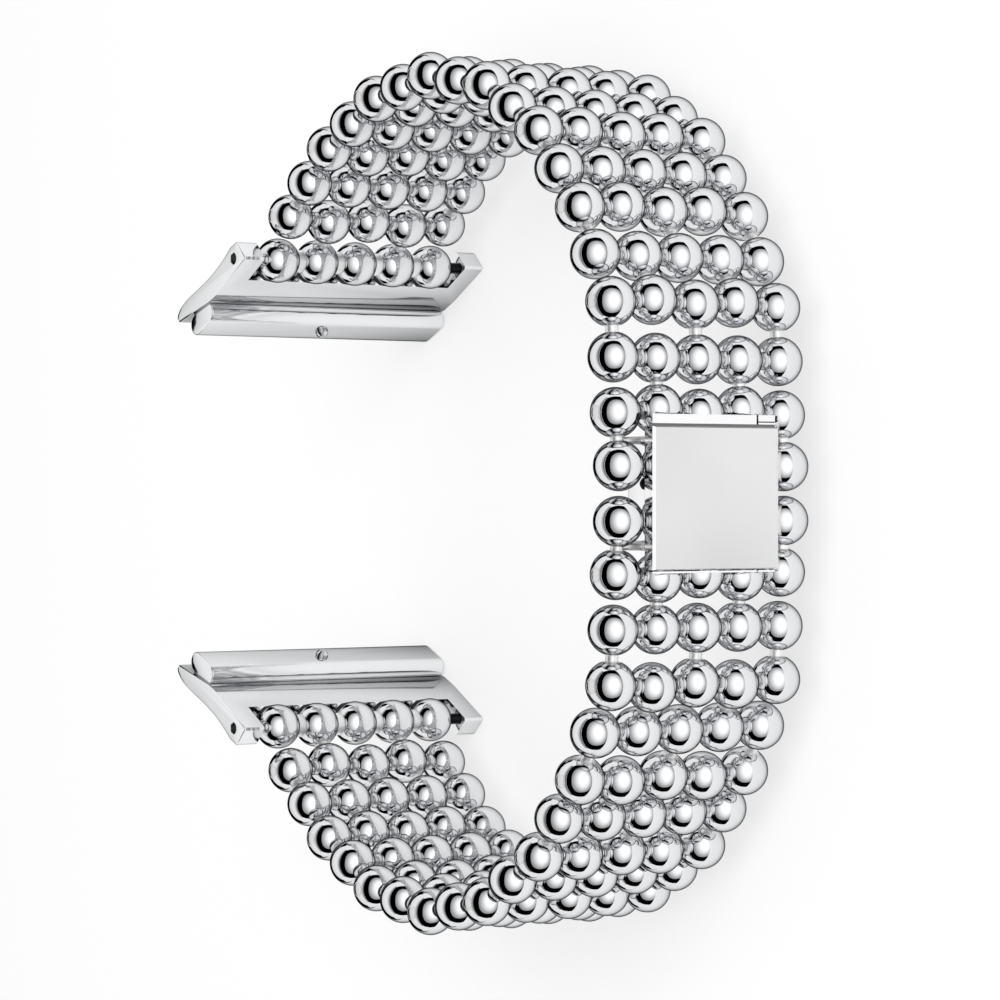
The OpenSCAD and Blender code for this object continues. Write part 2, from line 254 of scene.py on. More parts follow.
class BraceletSettings(PropertyGroup):
    """All settings of the bracelet."""

    beads: PointerProperty(type=BeadSettings)
    adapter: PointerProperty(type=AdapterSettings)
    clasp: PointerProperty(type=ClaspSettings)
    finish: PointerProperty(type=FinishSettings)
    studio: PointerProperty(type=StudioSettings)


def settings():
    return bpy.context.scene.bracelet


def linear(hex_colour):
    """Turns an sRGB hex colour into linear RGBA."""
    channels = [int(hex_colour[i:i + 2], 16) / 255 for i in (1, 3, 5)]
    return [c / 12.92 if c <= 0.04045 else ((c + 0.055) / 1.055) ** 2.4 for c in channels] + [1.0]


def add_node(tree, kind, inputs=(), links=(), **fields):
    """Adds a shader node of a kind with its fields, its input values and its incoming links."""
    node = tree.nodes.new("ShaderNode" + kind)
    for name, value in fields.items():
        setattr(node, name, value)
    for name, value in dict(inputs).items():
        node.inputs[name].default_value = value
    for name, socket in dict(links).items():
        tree.links.new(socket, node.inputs[name])
    return node


def new_material(name):
    """An empty node material with its output node."""
    material = bpy.data.materials.get(name) or bpy.data.materials.new(name)
    material.use_nodes = True
    material.node_tree.nodes.clear()
    return material, material.node_tree, material.node_tree.nodes.new("ShaderNodeOutputMaterial")


def polished_steel(name, hex_colour, roughness, ripple_mm, ripple):
    """Stainless steel, tumbled and mirror polished: sharp reflections, broken only by a very
    shallow ripple that the polishing wheel leaves and by faint changes in gloss from handling.
    The black edge tint paints shade into each round form's rim: a thin painted dark outline."""
    material, tree, out = new_material(name)
    place = {"Vector": add_node(tree, "TexCoord").outputs["Object"]}
    haze = add_node(tree, "TexNoise", {"Scale": 1 / GLOSS_PATCH, "Detail": 3.0}, place)
    gloss = add_node(tree, "MapRange", {"To Min": roughness * 0.7, "To Max": roughness * 1.4},
                     {"Value": haze.outputs["Fac"]})
    wave = add_node(tree, "TexNoise", {"Scale": 1 / (ripple_mm * MM), "Detail": 2.0}, place)
    bump = add_node(tree, "Bump", {"Strength": ripple, "Distance": RIPPLE_DEPTH},
                    {"Height": wave.outputs["Fac"]})
    # The black specular tint paints a dark rim at a grazing view: painted shade.
    steel = add_node(tree, "BsdfPrincipled",
                     {"Base Color": linear(hex_colour), "Metallic": 1.0,
                      "Specular Tint": linear(settings().finish.painted_dark_rim)},
                     {"Roughness": gloss.outputs["Result"], "Normal": bump.outputs["Normal"]})
    tree.links.new(steel.outputs["BSDF"], out.inputs["Surface"])
    return material


def brushed_steel(name, hex_colour, roughness, grain=(1.0, 1.0, 1.0)):
    """Stainless steel, brushed with a fine belt along the band: soft wide highlights, faint
    parallel lines and a tone that drifts a little from place to place. Belt grit leaves lines of
    about 0.05 mm; they are drawn 0.12 mm wide to show."""
    material, tree, out = new_material(name)
    place = {"Vector": add_node(tree, "TexCoord").outputs["Object"]}
    stretch = add_node(tree, "Mapping", {"Scale": grain}, place)
    lines = add_node(tree, "TexNoise", {"Scale": 1 / GRIT_LINE, "Detail": 2.0},
                     {"Vector": stretch.outputs["Vector"]})
    gloss = add_node(tree, "MapRange", {"To Min": roughness - 0.05, "To Max": roughness + 0.06},
                     {"Value": lines.outputs["Fac"]})
    bump = add_node(tree, "Bump", {"Strength": 0.12, "Distance": GRIT_DEPTH},
                    {"Height": lines.outputs["Fac"]})
    drift = add_node(tree, "TexNoise", {"Scale": 1 / TONE_PATCH, "Detail": 0.0}, place)
    grey = linear(hex_colour)[1]
    tone = add_node(tree, "MapRange",
                    {"From Min": 0.3, "From Max": 0.7,
                     "To Min": grey * 0.93, "To Max": grey * 1.06},
                    {"Value": drift.outputs["Fac"]})
    steel = add_node(tree, "BsdfPrincipled", {"Metallic": 1.0},
                     {"Base Color": tone.outputs["Result"], "Roughness": gloss.outputs["Result"],
                      "Normal": bump.outputs["Normal"]})
    tree.links.new(steel.outputs["BSDF"], out.inputs["Surface"])
    return material


def bead_material():
    """Beads, tumbled and buffed to a mirror: small sharp lights, and dark edges painted by the edge
    tint.
    """
    return polished_steel("steel, mirror polished beads", settings().finish.bead_steel,
                          roughness=0.045, ripple_mm=1.4, ripple=0.05)


def neck_material():
    """Necks that no polishing wheel reaches: a soft pale sheen from tumbling."""
    return brushed_steel("steel, tumbled necks", settings().finish.neck_steel, roughness=0.42)


def painted_seam_shade_material():
    """The floors of the seams, painted dull grey: painted shade that stands for the seams' shadow
    gaps.
    """
    return brushed_steel("steel, painted seam shade", settings().finish.painted_seam_shade, roughness=0.45)


def black_oxide_and_painted_shade_material():
    """Near black steel with a dim soft sheen: painted shade on the release buttons and in the
    clasp's slits, black oxide on the ear pins.
    """
    return brushed_steel("steel, black-oxidised and painted shade", settings().finish.black_oxide_and_painted_shade, roughness=0.3)


def clasp_material():
    """Rolled and wheel polished sheet: a slightly wavy mirror."""
    return polished_steel("steel, polished clasp", settings().finish.clasp_steel,
                          roughness=0.08, ripple_mm=2.0, ripple=0.08)


def adapter_material():
    """Cast and wheel polished bar: a mirror with slow waves."""
    return polished_steel("steel, cast and polished adapter", settings().finish.adapter_steel,
                          roughness=0.07, ripple_mm=3.0, ripple=0.08)


def plate_material():
    """Belt brushed plate: an even pale grey with faint lines along the band."""
    return brushed_steel("steel, satin brushed plate", settings().finish.plate_steel,
                         roughness=0.34, grain=(1.0, 0.02, 1.0))


def wire_material():
    """Drawn wire: bright, with the die's tight marks."""
    return polished_steel("steel, drawn and polished wire", settings().finish.wire_steel,
                          roughness=0.09, ripple_mm=0.6, ripple=0.05)


def spring_material():
    """Blued spring strip: a dull blue-grey."""
    return brushed_steel("spring steel, blued", settings().finish.spring_steel,
                         roughness=0.3, grain=(1.0, 1.0, 0.2))


def linked(name, data):
    """A new object in the scene."""
    piece = bpy.data.objects.new(name, data)
    bpy.context.scene.collection.objects.link(piece)
    return piece


def finished_object(name, bm, material):
    """Turns a bmesh into a linked object with its material."""
    mesh = bpy.data.meshes.new(name)
    bm.to_mesh(mesh)
    bm.free()
    mesh.materials.append(material)
    return linked(name, mesh)


def ball(centre, radius):
    """A sphere whose poles point across the band."""
    bm = bmesh.new()
    segments = settings().beads.bead_segments
    bmesh.ops.create_uvsphere(bm, u_segments=segments, v_segments=segments // 2, radius=radius,
                              matrix=Matrix.Translation(centre))
    return bm


def lathe(profile, place, segments):
    """A closed solid of revolution about its local X; profile is a list of (x, radius)."""
    bm = bmesh.new()
    turns = [2 * math.pi * k / segments for k in range(segments)]
    rings = [[bm.verts.new(place @ Vector((x, r * math.cos(a), r * math.sin(a)))) for a in turns]
             for x, r in profile]
    for low, high in zip(rings, rings[1:]):
        for k in range(segments):
            n = (k + 1) % segments
            bm.faces.new((low[k], low[n], high[n], high[k]))
    bm.faces.new(list(reversed(rings[0])))
    bm.faces.new(rings[-1])
    return bm


def mirrored(half):
    """A lathe's profile with the same end on both sides."""
    return [(-x, r) for x, r in reversed(half)] + half


def turned(start, end, profile, segments):
    """A solid of revolution that runs from start towards end."""
    run = end - start
    place = Matrix.Translation(start) @ run.to_track_quat("X", "Z").to_matrix().to_4x4()
    return lathe(profile, place, segments)


def flared_neck(start, end, radius, flare):
    """A neck between two beads, waisted in the middle."""
    length, steps = (end - start).length, 8
    shares = [k / steps for k in range(steps + 1)]
    profile = [(t * length, radius + flare * (2 * t - 1) ** 2) for t in shares]
    return turned(start, end, profile, 24)


def rod(start, end, radius):
    """A plain round rod."""
    return turned(start, end, [(0, radius), ((end - start).length, radius)], 32)


def round_edges(bm, edges, radius):
    """Rounds some edges of a bmesh."""
    bmesh.ops.bevel(bm, geom=edges, offset=radius, segments=3, profile=0.5, affect="EDGES",
                    clamp_overlap=True)


def box(low, high, radius=0.0):
    """A box, with rounded edges when the radius is above 0."""
    bm = bmesh.new()
    centre = (Vector(high) + Vector(low)) / 2
    size = Matrix.Diagonal((*(Vector(high) - Vector(low)), 1))
    bmesh.ops.create_cube(bm, size=1, matrix=Matrix.Translation(centre) @ size)
    if radius:
        round_edges(bm, bm.edges[:], radius)
    return bm


def scratch_object(bm, group):
    """Puts a bmesh in a collection that a boolean reads."""
    bmesh.ops.recalc_face_normals(bm, faces=bm.faces)
    mesh = bpy.data.meshes.new("scratch")
    bm.to_mesh(mesh)
    bm.free()
    piece = bpy.data.objects.new("scratch", mesh)
    group.objects.link(piece)
    return piece


def combined(solids, cuts=()):
    """The union of solids less the cuts, as one closed mesh. Takes bmeshes and frees them."""
    scene = bpy.context.scene.collection
    base = scratch_object(solids[0], scene)
    groups = []
    for operation, tools in (("UNION", solids[1:]), ("DIFFERENCE", cuts)):
        if tools:
            group = bpy.data.collections.new(operation)
            scene.children.link(group)
            groups.append(group)
            for bm in tools:
                scratch_object(bm, group)
            step = base.modifiers.new(operation, "BOOLEAN")
            step.operation = operation
            step.operand_type = "COLLECTION"
            step.collection = group
            step.solver = "EXACT"
    graph = bpy.context.evaluated_depsgraph_get()
    result = bpy.data.meshes.new_from_object(base.evaluated_get(graph))
    for group in groups:
        for piece in list(group.objects):
            bpy.data.meshes.remove(piece.data)
        bpy.data.collections.remove(group)
    bpy.data.meshes.remove(base.data)
    result.materials.clear()
    return result


def shade(mesh, centres=(), radius=0.0, sharp=math.radians(32)):
    """Smooth shading with sharp creases. Bead surfaces get their exact round normals and the first
    material, and what joins the beads gets the second."""
    mesh.set_sharp_from_angle(angle=sharp)
    for polygon in mesh.polygons:
        polygon.use_smooth = True
    normals = [Vector(n.vector) for n in mesh.corner_normals]
    slack = radius * ON_BEAD
    if centres:
        points = [v.co for v in mesh.vertices]
        for polygon in mesh.polygons:
            middle = min(centres, key=lambda c: abs((polygon.center - c).length - radius))
            if all(abs((points[v] - middle).length - radius) < slack for v in polygon.vertices):
                for loop, vertex in zip(polygon.loop_indices, polygon.vertices):
                    normals[loop] = (points[vertex] - middle).normalized()
            else:
                polygon.material_index = 1
    mesh.normals_split_custom_set([tuple(n) for n in normals])


def placed(master, name, place, body, node, materials):
    """A copy of a master mesh at its place, riding on its body in place of its node."""
    mesh = master.copy()
    mesh.transform(place)
    for material in materials:
        mesh.materials.append(material)
    piece = linked(name, mesh)
    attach(piece, body)
    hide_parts(node)


def set_down(mesh, name, body, node, materials):
    """Places a mesh that was made where it belongs."""
    placed(mesh, name, Matrix(), body, node, materials)
    bpy.data.meshes.remove(mesh)


def turned_piece(bm, name, body, node, material, crease):
    """A turned pin or button, riding on its body in place of its node; the crease is in degrees."""
    bmesh.ops.recalc_face_normals(bm, faces=bm.faces)
    piece = finished_object(name, bm, material)
    piece.data.set_sharp_from_angle(angle=math.radians(crease))
    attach(piece, body)
    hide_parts(node)


def refinish(name, material):
    """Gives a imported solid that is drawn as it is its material."""
    slots = frame["nodes"][name].data.materials
    slots.clear()
    slots.append(material)


def across(x, column):
    """A point x along a link, on one column of beads."""
    return Vector((x, 0, column * settings().beads.column_pitch))


def pin_bore(x, radius):
    """A bore along the pin with a countersink at each outer bead."""
    beads = settings().beads
    reach, sink = 3 * beads.column_pitch, beads.countersink
    mouth = math.sqrt((beads.bead_d / 2) ** 2 - radius ** 2) + 2 * beads.column_pitch
    half = [(mouth - sink / 2, radius), (reach, radius + sink + reach - mouth)]
    return lathe(mirrored(half), Matrix.Translation((x, 0, 0)) @ ACROSS, 40)


def link_mesh(row_x, end_x=0.0):
    """One link in its own frame: X from the clasp side's pin towards the adapter, Z across the
    band. An end link has no end_x: it ends in its row, on a sleeve around the adapter's pin."""
    beads = settings().beads
    row = [across(row_x, c) for c in COLUMNS]
    back = [across(beads.knuckle_set, c) for c in INNER_KNUCKLES]
    front = [across(end_x, c) for c in OUTER_KNUCKLES] if end_x else []
    centres = row + back + front
    solids = [ball(centre, beads.bead_d / 2) for centre in centres]
    neck_r = beads.neck_d / 2
    solids.append(rod(row[-1], row[0], neck_r if end_x else (beads.pin_d + beads.neck_d) / 2))
    necks = [(across(beads.knuckle_set, c), across(row_x, c)) for c in INNER_KNUCKLES]
    if end_x:
        necks += [(across(row_x, c), across(end_x, c)) for c in OUTER_KNUCKLES]
    for start, end in necks:
        solids.append(flared_neck(start, end, neck_r, beads.neck_flare))
    running = beads.pin_d / 2 + beads.pin_play
    far_bore = pin_bore(end_x, beads.pin_d / 2) if end_x else pin_bore(row_x, running)
    mesh = combined(solids, [pin_bore(0, running), far_bore])
    shade(mesh, centres, beads.bead_d / 2)
    return mesh


def chain(side):
    """The children of one half's hinges, from the clasp to the adapter."""
    return [f"{side}_link_{i + 1}" for i in range(LINKS)] + [f"{side}_end_link", f"{side}_adapter"]


def axes_at(place, *axes):
    """A frame at a place, with its three axes."""
    return Matrix.Translation(place) @ Matrix(axes).transposed().to_4x4()


def between(start, end):
    """The frame of a link whose X runs from one hinge to the next."""
    ahead = (end - start).normalized()
    up = Vector((0, 0, 1))
    side = up.cross(ahead)
    return axes_at(start, ahead, side, up)


class BRACELET_OT_links(Operator):
    """Build the bead links and the end links of both halves"""

    bl_idname = "bracelet.links"
    bl_label = "Bead links"

    def execute(self, context):
        pitch = settings().beads.row_pitch
        materials = (bead_material(), neck_material())
        regular = link_mesh(pitch, 2 * pitch)
        for side in SIDES:
            names = chain(side)
            points = [HINGES[name] for name in names]
            last = link_mesh((points[-1] - points[-2]).length)
            for i, name in enumerate(names[:-1]):
                placed(regular if i < LINKS else last, f"{name}_beads",
                       between(points[i], points[i + 1]), name, name, materials)
            bpy.data.meshes.remove(last)
        bpy.data.meshes.remove(regular)
        return {"FINISHED"}


class BRACELET_OT_pins(Operator):
    """Build the hinge pins with their domed ends"""

    bl_idname = "bracelet.pins"
    bl_label = "Hinge pins"

    def execute(self, context):
        material, beads = wire_material(), settings().beads
        round_r = beads.bead_d / 2 - beads.pin_sink
        for name, node in frame["nodes"].items():
            if "_pin_" not in name:
                continue
            low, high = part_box(name)
            dome = []
            for share in (1.0, 0.75, 0.5, 0.2):
                r = share * (high.x - low.x) / 2
                dome.append((2 * beads.column_pitch + math.sqrt(round_r ** 2 - r * r), r))
            bm = lathe(mirrored(dome), Matrix.Translation((low + high) / 2) @ ACROSS, 32)
            turned_piece(bm, f"{name}_wire", node["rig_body"], name, material, 40)
        return {"FINISHED"}


def clasp_levels():
    """X of the clasp's layers and the lengths of its halves, from its hinge pins."""
    clasp = settings().clasp
    pin = HINGES["upper_link_1"]
    sheet_back = pin.x + settings().beads.bead_d / 2 + clasp.sheet_gap
    box_top = sheet_back - clasp.pad_t
    block_in = pin.y - settings().beads.bead_d / 2 - clasp.block_t + clasp.block_lap
    return {"pin": pin.x, "sheet_back": sheet_back, "front": sheet_back + clasp.sheet_t,
            "box_top": box_top, "box_back": box_top - clasp.box_h, "half": pin.y,
            "block_in": block_in, "box_mouth": block_in - clasp.slip}


def clasp_end(m, name, body, node, materials, stubs=()):
    """Beads, necks, bars and end block at one end of the clasp, m = 1 above and -1 below."""
    clasp, beads = settings().clasp, settings().beads
    x = clasp_levels()
    pin = Vector((x["pin"], m * x["half"], MID_Z))
    side = Vector((x["pin"] + clasp.side_out, m * clasp.side_y, MID_Z))
    knuckles = [Vector((*pin.xy, MID_Z + c * beads.column_pitch)) for c in OUTER_KNUCKLES]
    outer = [Vector((*side.xy, MID_Z + c * beads.column_pitch)) for c in (2, -2)]
    centres = knuckles + outer
    solids = [ball(centre, beads.bead_d / 2) for centre in centres]
    for bead, knuckle in zip(outer, (knuckles[0], knuckles[-1])):
        solids.append(flared_neck(knuckle, bead, beads.neck_d / 2, beads.neck_flare))
    y_low, y_high = sorted((m * x["block_in"], m * (x["block_in"] + clasp.block_t)))
    solids.append(box((x["box_back"], y_low, MID_Z - clasp.box_half_w),
                      (x["box_top"] - clasp.slip, y_high, MID_Z + clasp.box_half_w), clasp.edge))
    bar_at = Vector(((x["box_back"] + x["box_top"]) / 2, (y_low + y_high) / 2, MID_Z))
    reach = Vector((0, 0, 2 * beads.column_pitch))
    solids.append(rod(bar_at - reach, bar_at + reach, clasp.bar_d / 2))
    bore = pin_bore(0, beads.pin_d / 2)
    bmesh.ops.transform(bore, matrix=Matrix.Translation(pin), verts=bore.verts)
    mesh = combined(solids + list(stubs), [bore])
    shade(mesh, centres, beads.bead_d / 2)
    set_down(mesh, name, body, node, materials)


class BRACELET_OT_clasp(Operator):
    """Build the clasp's box, its tongue and the beads at both ends"""

    bl_idname = "bracelet.clasp"
    bl_label = "Clasp"

    def execute(self, context):
        clasp, beads = settings().clasp, settings().beads
        x = clasp_levels()
        materials = (bead_material(), neck_material())
        # Short bars through the box's walls carry its side beads.
        at = Vector((x["pin"] + clasp.side_out, clasp.side_y, MID_Z))
        wall = clasp.box_half_w - clasp.box_wall / 2
        stubs = [rod(at + Vector((0, 0, s * wall)), at + Vector((0, 0, s * 2 * beads.column_pitch)),
                     clasp.bar_d / 2) for s in (1, -1)]
        clasp_end(1, "clasp_box_beads", "clasp", "clasp_box", materials, stubs)

        width, inner = clasp.box_half_w, clasp.box_half_w - clasp.box_wall
        outside = box((x["box_back"], -x["box_mouth"], MID_Z - width),
                      (x["box_top"], x["block_in"] + clasp.block_t / 2, MID_Z + width), clasp.edge)
        hollow = box((x["box_back"] + clasp.box_wall, -x["box_mouth"] - MM, MID_Z - inner),
                     (x["box_top"] + MM, x["block_in"], MID_Z + inner))
        low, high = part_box("left_button")
        hole_at = Vector(((low.x + high.x) / 2, (low.y + high.y) / 2, MID_Z))
        span = Vector((0, 0, width + MM))
        holes = rod(hole_at - span, hole_at + span, clasp.button_d / 2 + clasp.slip)
        mesh = combined([outside], [hollow, holes])
        shade(mesh)
        set_down(mesh, "clasp_box_shell", "clasp", "clasp_box", [clasp_material()])

        clasp_end(-1, "tongue_beads", "tongue", "tongue", materials)
        return {"FINISHED"}


class BRACELET_OT_tongue(Operator):
    """Build the tongue's blade and the release buttons, and give its spring leaf its finish"""

    bl_idname = "bracelet.tongue"
    bl_label = "Tongue and buttons"

    def execute(self, context):
        clasp = settings().clasp
        x = clasp_levels()
        back = x["box_back"] + clasp.box_wall + clasp.blade_gap
        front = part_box("tongue_spring")[0].x - clasp.slip
        blade = box((back, -x["block_in"] - clasp.block_t / 2, MID_Z - clasp.arm_half),
                    (front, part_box("tongue")[1].y, MID_Z + clasp.arm_half), clasp.edge)
        mesh = combined([blade])
        shade(mesh)
        set_down(mesh, "tongue_blade", "tongue", "tongue", [clasp_material()])
        refinish("tongue_spring", spring_material())
        # The release buttons are painted near black: painted shade.
        black = black_oxide_and_painted_shade_material()
        for name in ("left_button", "right_button"):
            low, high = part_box(name)
            head = 1 if (low.z + high.z) / 2 > MID_Z else -1
            start = Vector(((low.x + high.x) / 2, (low.y + high.y) / 2,
                            low.z if head > 0 else high.z))
            collar_r, r = (high.x - low.x) / 2, clasp.button_d / 2
            foot = high.z - low.z - clasp.button_flat - clasp.button_dome
            profile = [(0, collar_r), (clasp.collar_t, collar_r), (clasp.collar_t, r)]
            for a in map(math.radians, (0, 18, 36, 54, 72, 84)):
                profile.append((foot + clasp.button_dome * math.sin(a), r * math.cos(a)))
            outward = Matrix.Translation(start) @ Matrix.Rotation(-head * math.pi / 2, 4, "Y")
            turned_piece(lathe(profile, outward, 32), f"{name}_turned", name, name, black, 35)
        return {"FINISHED"}


def rimmed_plate(low, high, rim, rim_end, drop):
    """A plate whose front has a rim that slopes down to its edges, narrower at the plate's ends."""
    bm = box(low, high)
    front = max(bm.faces, key=lambda face: face.calc_center_median().x)
    bmesh.ops.inset_region(bm, faces=[front], thickness=rim, use_even_offset=True)
    for v in bm.verts:
        if high[0] - v.co.x > drop / 2:
            continue
        above, below = high[1] - v.co.y, v.co.y - low[1]
        if min(above, below) < rim / 2:
            v.co.x -= drop
        else:
            v.co.y = high[1] - rim_end if above < below else low[1] + rim_end
    return bm


class BRACELET_OT_cover(Operator):
    """Build the clasp's satin plate, its end strips and side skirts"""

    bl_idname = "bracelet.cover"
    bl_label = "Clasp cover"

    def execute(self, context):
        clasp = settings().clasp
        x = clasp_levels()
        wide, narrow, slit_w = clasp.cover_half_w, clasp.box_half_w, clasp.tab_slit
        up, down, reach = clasp.plate_up, -clasp.plate_down, clasp.strip_reach
        back, front = x["sheet_back"], x["front"]
        strip_front = front - clasp.strip_step
        seam_floor = strip_front - clasp.seam_depth
        slit_floor = seam_floor - clasp.seam_depth / 4
        plate = rimmed_plate((back, down, MID_Z - wide), (front, up, MID_Z + wide),
                             clasp.rim, clasp.rim_end, clasp.rim_drop)
        strips = box((back, -reach, MID_Z - narrow), (strip_front, reach, MID_Z + wide))
        for v in strips.verts:
            if v.co.x < strip_front - clasp.strip_step:
                v.co.y -= math.copysign(clasp.strip_slant, v.co.y)
        sheet_mid = back + clasp.sheet_t / 2
        pad = box((x["box_top"], -x["box_mouth"], MID_Z - narrow),
                  (sheet_mid, x["block_in"] + clasp.block_t, MID_Z + narrow))
        solids = [plate, strips, pad]
        for s in (1, -1):
            low, high = sorted((MID_Z + s * (wide - clasp.sheet_t), MID_Z + s * wide))
            solids.append(box((sheet_mid - clasp.skirt, down, low), (sheet_mid, up, high),
                              clasp.skirt_edge))
        # The seams beside the plate, and the slit that frees a small tab at the end of each strip.
        slit = MID_Z - narrow + clasp.tab_w
        top, low_end = up + clasp.seam_top, down - clasp.seam_low
        ledge = top + clasp.seam_top
        left, right = MID_Z - wide - MM, MID_Z + wide + MM
        seams = [(up, top, left, right), (low_end, down, left, right)]
        slits = [(ledge - slit_w / 2, ledge, left, slit), (top, reach + MM, slit, slit + slit_w),
                 (-reach - MM, low_end, slit, slit + slit_w)]
        cuts = [box((floor, y_low, z_low), (front + MM, y_high, z_high))
                for floor, grooves in ((seam_floor, seams), (slit_floor, slits))
                for y_low, y_high, z_low, z_high in grooves]
        mesh = combined(solids, cuts)
        shade(mesh, sharp=math.radians(12))
        # Each level of the front has its own finish, in the order of the materials below; the seam
        # and slit floors get painted shade.
        for polygon in mesh.polygons:
            if polygon.normal.x > 0.999:
                off = [abs(polygon.center.x - level)
                       for level in (strip_front, front, seam_floor, slit_floor)]
                if min(off) < clasp.seam_depth / 10:
                    polygon.material_index = off.index(min(off))
        set_down(mesh, "clasp_plate", "clasp", "clasp_cover",
                 (clasp_material(), plate_material(), painted_seam_shade_material(), black_oxide_and_painted_shade_material()))
        return {"FINISHED"}


def bezier(points, steps):
    """Points along a cubic curve."""
    a, b, c, d = (Vector(p) for p in points)
    out = []
    for t in (k / steps for k in range(steps + 1)):
        u = 1 - t
        out.append(u ** 3 * a + 3 * u ** 2 * t * b + 3 * u * t * t * c + t ** 3 * d)
    return out


def arc(centre, radius, start, end, steps):
    """Points along an arc, angles in degrees."""
    out = []
    for k in range(steps + 1):
        a = math.radians(start + (end - start) * k / steps)
        out.append(Vector((centre[0] + radius * math.cos(a), centre[1] + radius * math.sin(a))))
    return out


def extruded(outline, half, edge):
    """An outline in millimetres as a bar across the band, with rounded end edges."""
    bm = bmesh.new()
    low = [bm.verts.new((p.x * MM, p.y * MM, -half)) for p in outline]
    pulled = bmesh.ops.extrude_face_region(bm, geom=[bm.faces.new(low)])
    top = [g for g in pulled["geom"] if isinstance(g, bmesh.types.BMVert)]
    bmesh.ops.translate(bm, vec=(0, 0, 2 * half), verts=top)
    bmesh.ops.recalc_face_normals(bm, faces=bm.faces)
    ends = [e for e in bm.edges if abs(e.verts[0].co.z - e.verts[1].co.z) < half / 1000]
    round_edges(bm, ends, edge)
    return bm


# How far the adapter's ear and its foot turn against the frame, and the foot's middle in
# millimetres along its own axes, from the pin.
EAR_ANGLE = math.radians(31)
FOOT_ANGLE = math.radians(25)
FOOT_AT = (-9.24, -2.31)


def adapter_outline():
    """Side view of the adapter from its pin, in millimetres: ear to the right, tail to the left."""
    crown = bezier(((-12.2, -5.4), (-10.5, -3.0), (-6.0, -3.2), (-0.8, 1.2)), 36)
    tip = arc((0.55, 1.25), 0.45, 120, 40, 8)
    under = ((2.35, 0.12), (2.35, -0.2), (-3.3, -3.38), (-5.3, -4.3), (-11.9, -6.2), (-12.3, -5.8))
    return crown + tip + [Vector(p) for p in under]


def foot_outline():
    """Cross-section of the foot and its neck, in millimetres from the pin."""
    adapter = settings().adapter
    r = adapter.foot_t / MM / 2
    reach = adapter.foot_w / MM / 2 - r
    neck = min(adapter.foot_neck_w / MM / 2, reach)
    right = arc((reach, 0), r, -90, 90, 12)
    left = arc((-reach, 0), r, 90, 270, 12)
    throat = [Vector(p) for p in ((neck, r), (neck, 2 * r), (-neck, 2 * r), (-neck, r))]
    turn = Matrix.Rotation(FOOT_ANGLE, 2)
    return [turn @ (p + Vector(FOOT_AT)) for p in right[:-1] + throat + left[1:]]


class BRACELET_OT_adapters(Operator):
    """Build the two slide-in adapters"""

    bl_idname = "bracelet.adapters"
    bl_label = "Adapters"

    def execute(self, context):
        adapter, beads = settings().adapter, settings().beads
        half = adapter.width / 2
        body = extruded(adapter_outline(), half, adapter.edge)
        foot = extruded(foot_outline(), half - adapter.foot_inset, adapter.edge)
        notch_half = half - adapter.ear_t
        notch = box((-adapter.notch_depth, -half, -notch_half), (half, half, notch_half))
        bmesh.ops.transform(notch, matrix=Matrix.Rotation(EAR_ANGLE, 4, "Z"), verts=notch.verts)
        hollow_r = beads.bead_d / 2 + adapter.scallop_gap
        cuts = [notch] + [ball(across(0, c), hollow_r) for c in COLUMNS]
        sink, pin_r, lock_r = beads.countersink, beads.pin_d / 2, adapter.lock_d / 2
        bore = mirrored([(half - sink, pin_r), (half + MM, pin_r + sink + MM)])
        cuts.append(lathe(bore, ACROSS, 40))
        middle = Matrix.Translation((FOOT_AT[0] * MM, FOOT_AT[1] * MM, 0))
        down = Matrix.Rotation(FOOT_ANGLE, 4, "Z") @ middle @ Matrix.Rotation(-math.pi / 2, 4, "Z")
        cuts.append(lathe([(0, lock_r), (adapter.foot_t / 2 + MM, lock_r)], down, 32))
        mesh = combined([body, foot], cuts)
        shade(mesh)
        steel = [adapter_material()]
        for side, m in SIDES.items():
            name = f"{side}_adapter"
            place = Matrix.Translation(HINGES[name])
            if m < 0:
                place = place @ Matrix.Rotation(math.pi, 4, "X")
            placed(mesh, f"{name}_polished", place, name, name, steel)
        bpy.data.meshes.remove(mesh)
        finishes = {"ear_pin": black_oxide_and_painted_shade_material(), "lock_plunger": wire_material(),
                    "lock_spring": spring_material()}
        for side in SIDES:
            for ending, finish in finishes.items():
                refinish(f"{side}_{ending}", finish)
        return {"FINISHED"}


def glow(name, draw=None):
    """A studio material that is black, or shines as brightly as the value that draw makes from
    the panel's own place."""
    material, tree, out = new_material(name)
    light = add_node(tree, "Emission", {"Color": (1, 1, 1, 1), "Strength": 0.0})
    if draw:
        place = add_node(tree, "TexCoord")
        tree.links.new(draw(tree, place.outputs["Object"]), light.inputs["Strength"])
    tree.links.new(light.outputs["Emission"], out.inputs["Surface"])
    return material


def diffuser(tree, place):
    """Softbox cloth: brightest over its lamp and dimmer towards its rim."""
    studio = settings().studio
    reach = add_node(tree, "VectorMath", links={"Vector": place}, operation="LENGTH")
    fall = add_node(tree, "MapRange",
                    {"From Min": 0.05, "From Max": 1.05, "To Min": studio.softbox_glow,
                     "To Max": studio.softbox_edge},
                    {"Value": reach.outputs["Value"]}, interpolation_type="SMOOTHSTEP")
    return fall.outputs["Result"]


def graduated(tree, place):
    """Graduated card: black at its lower edge and white at its upper edge."""
    parts = add_node(tree, "SeparateXYZ", links={"Vector": place})
    ramp = add_node(tree, "MapRange", {"From Min": -1.0, "From Max": 1.0},
                    {"Value": parts.outputs["Y"]})
    return ramp.outputs["Result"]


